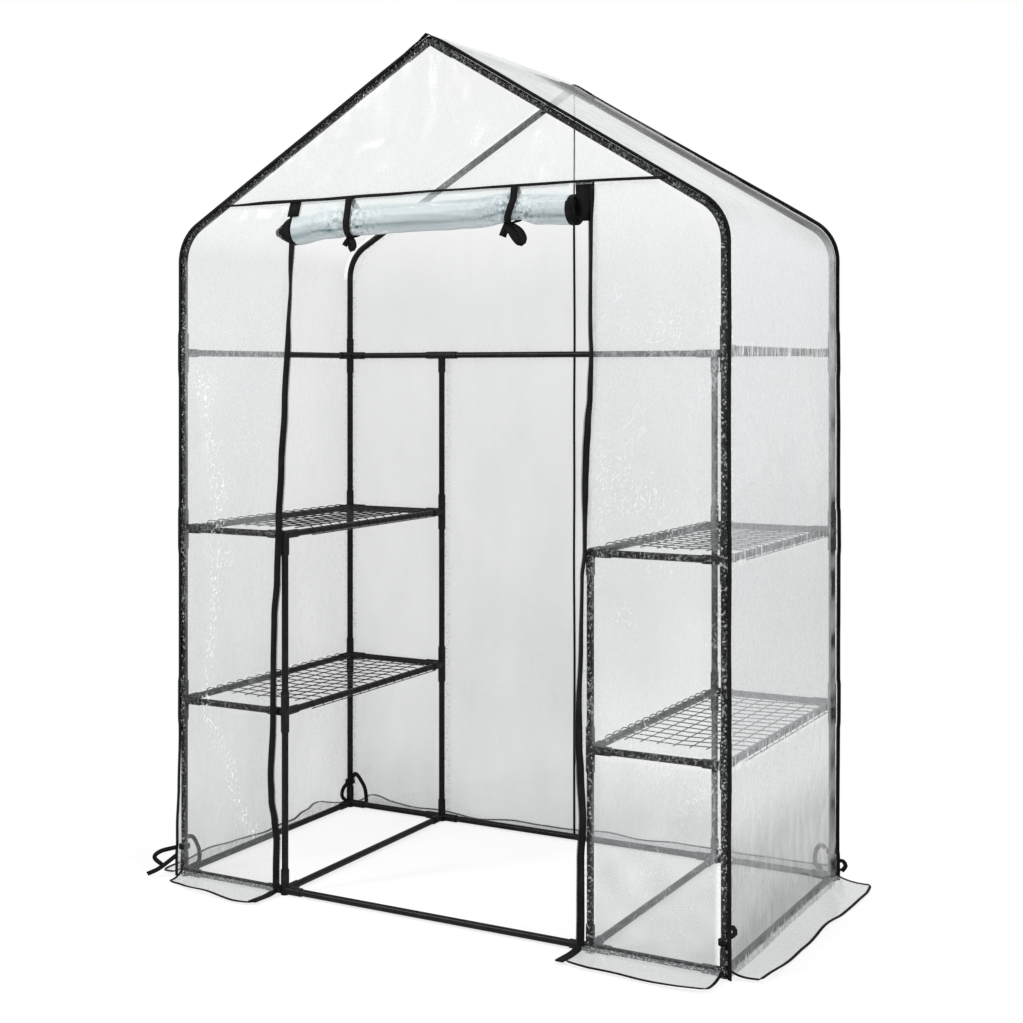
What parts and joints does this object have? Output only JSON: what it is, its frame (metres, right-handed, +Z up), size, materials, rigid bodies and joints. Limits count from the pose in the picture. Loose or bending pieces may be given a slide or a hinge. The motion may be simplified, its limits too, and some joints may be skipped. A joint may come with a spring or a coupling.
{
  "type": "walk-in film greenhouse",
  "caption": "Walk-in garden greenhouse with a clear film cover over a black push-fit tube frame, wire shelves on both sides and a rolled-up zip door.",
  "frame": {"origin": "on the ground, under the middle of the greenhouse", "axes": "+Z up, -Y out of the doorway, +X to the right as seen from outside the doorway"},
  "size_m": [1.6452, 0.9532, 2.0015],
  "materials": {
    "black_tube": "satin",
    "shelf_wire": "satin",
    "connector_plastic": "matte",
    "clear_film": "gloss",
    "rolled_film": "gloss",
    "black_tape": "matte"
  },
  "bodies": {
    "root": {"front_left_post": "black_tube", "front_right_post": "black_tube", "back_left_post": "black_tube", "back_right_post": "black_tube", "front_inner_posts": "black_tube", "back_inner_posts": "black_tube", "front_rafters": "black_tube", "back_rafters": "black_tube", "ridge_tube": "black_tube", "base_front_rail": "black_tube", "base_back_rail": "black_tube", "base_side_rails": "black_tube", "base_cross_rails": "black_tube", "mid_back_rail": "black_tube", "mid_side_rails": "black_tube", "left_lower_shelf_rails": "black_tube", "left_upper_shelf_rails": "black_tube", "right_lower_shelf_rails": "black_tube", "right_upper_shelf_rails": "black_tube", "left_lower_shelf_mesh": "shelf_wire", "left_upper_shelf_mesh": "shelf_wire", "right_lower_shelf_mesh": "shelf_wire", "right_upper_shelf_mesh": "shelf_wire", "base_connectors": "connector_plastic", "lower_shelf_connectors": "connector_plastic", "upper_shelf_connectors": "connector_plastic", "mid_rail_connectors": "connector_plastic", "apex_connectors": "connector_plastic", "cover_left_wall": "clear_film", "cover_right_wall": "clear_film", "cover_left_roof": "clear_film", "cover_right_roof": "clear_film", "cover_back_panel": "clear_film", "cover_front_gable": "clear_film", "cover_front_left_panel": "clear_film", "cover_front_right_panel": "clear_film", "ground_skirt": "clear_film", "door_roll": "rolled_film", "front_binding": "black_tape", "back_binding": "black_tape", "door_header": "black_tape", "back_centre_seam": "black_tape", "door_zips": "black_tape", "door_ties": "black_tape", "corner_ties": "black_tape"}
  },
  "joints": []
}
